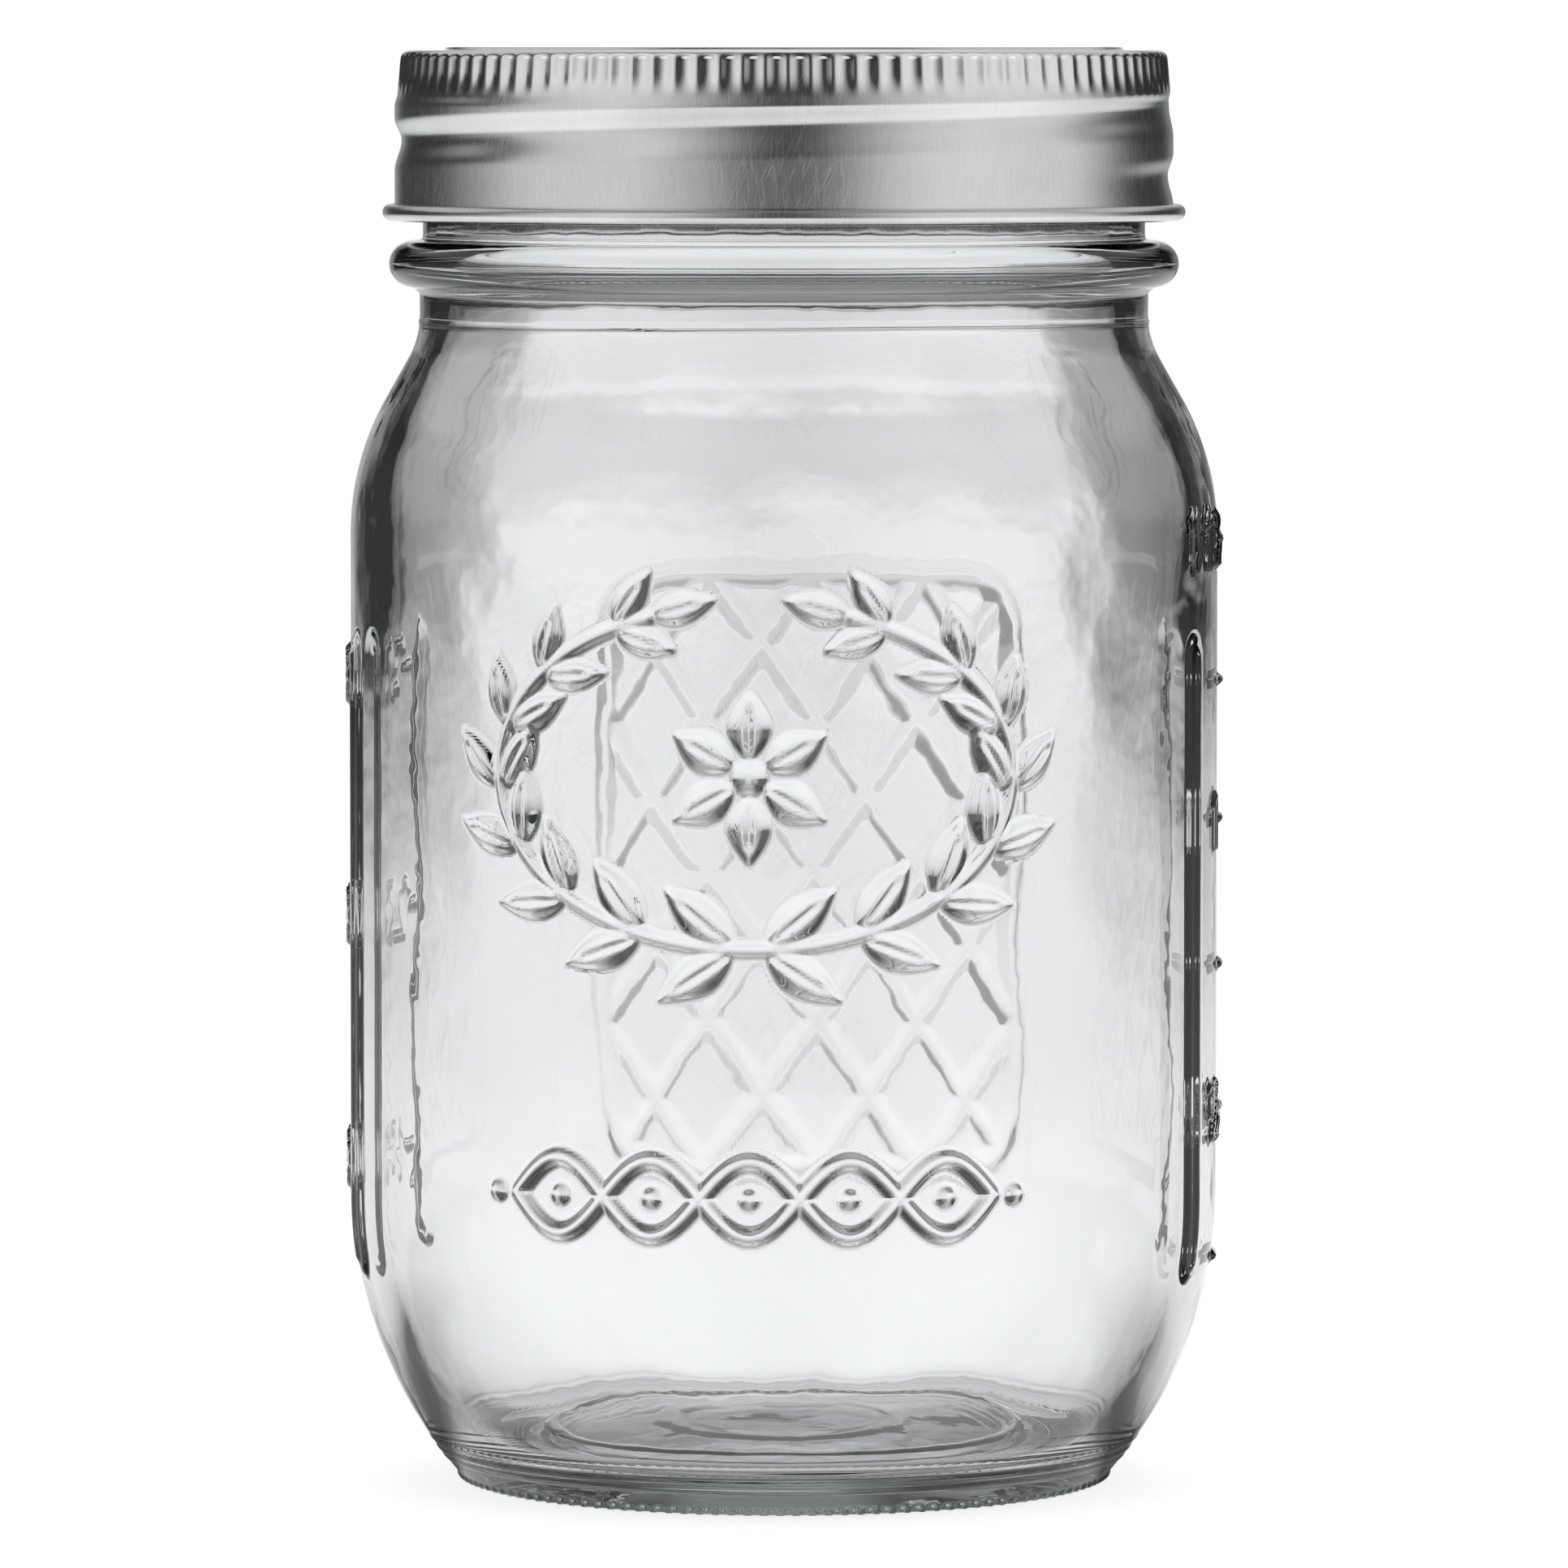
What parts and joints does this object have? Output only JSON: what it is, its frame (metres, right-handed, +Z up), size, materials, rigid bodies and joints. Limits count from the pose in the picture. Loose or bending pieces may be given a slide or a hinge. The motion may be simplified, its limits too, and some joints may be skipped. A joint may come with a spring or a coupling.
{
  "type": "canning jar",
  "caption": "Clear glass canning jar with round shoulders, a neck ring and side ribs, closed by a flat tinplate lid with a sealing ring and a fluted screw band.",
  "frame": {"origin": "on the jar's axis, in the plane that it stands on", "axes": "+Z up along the jar's axis, the jar's front faces -Y"},
  "size_m": [0.0808, 0.0808, 0.1335],
  "materials": {
    "clear_glass": "clear pressed soda-lime glass",
    "lid_tinplate": "bright tinplate",
    "sealing_compound": "soft sealing compound",
    "band_tinplate": "satin tinplate with fine scratches"
  },
  "bodies": {
    "jar": {"glass_jar": "clear_glass"},
    "lid": {"lid_disc": "lid_tinplate", "sealing_ring": "sealing_compound"},
    "band": {"screw_band": "band_tinplate"}
  },
  "joints": [
    {"name": "lid_lift", "type": "slide", "parent": "jar", "child": "lid", "axis": [0, 0, 1], "range_m": [0, 0.0191]},
    {"name": "band_turn", "type": "hinge", "parent": "lid", "child": "band", "pos_m": [0, 0, 0.1255], "axis": [0, 0, 1], "range_deg": [0, 1080]}
  ],
  "couplings": [
    {"joint": "lid_lift", "follows": "band_turn", "m_per_rad": 0.0010106}
  ]
}
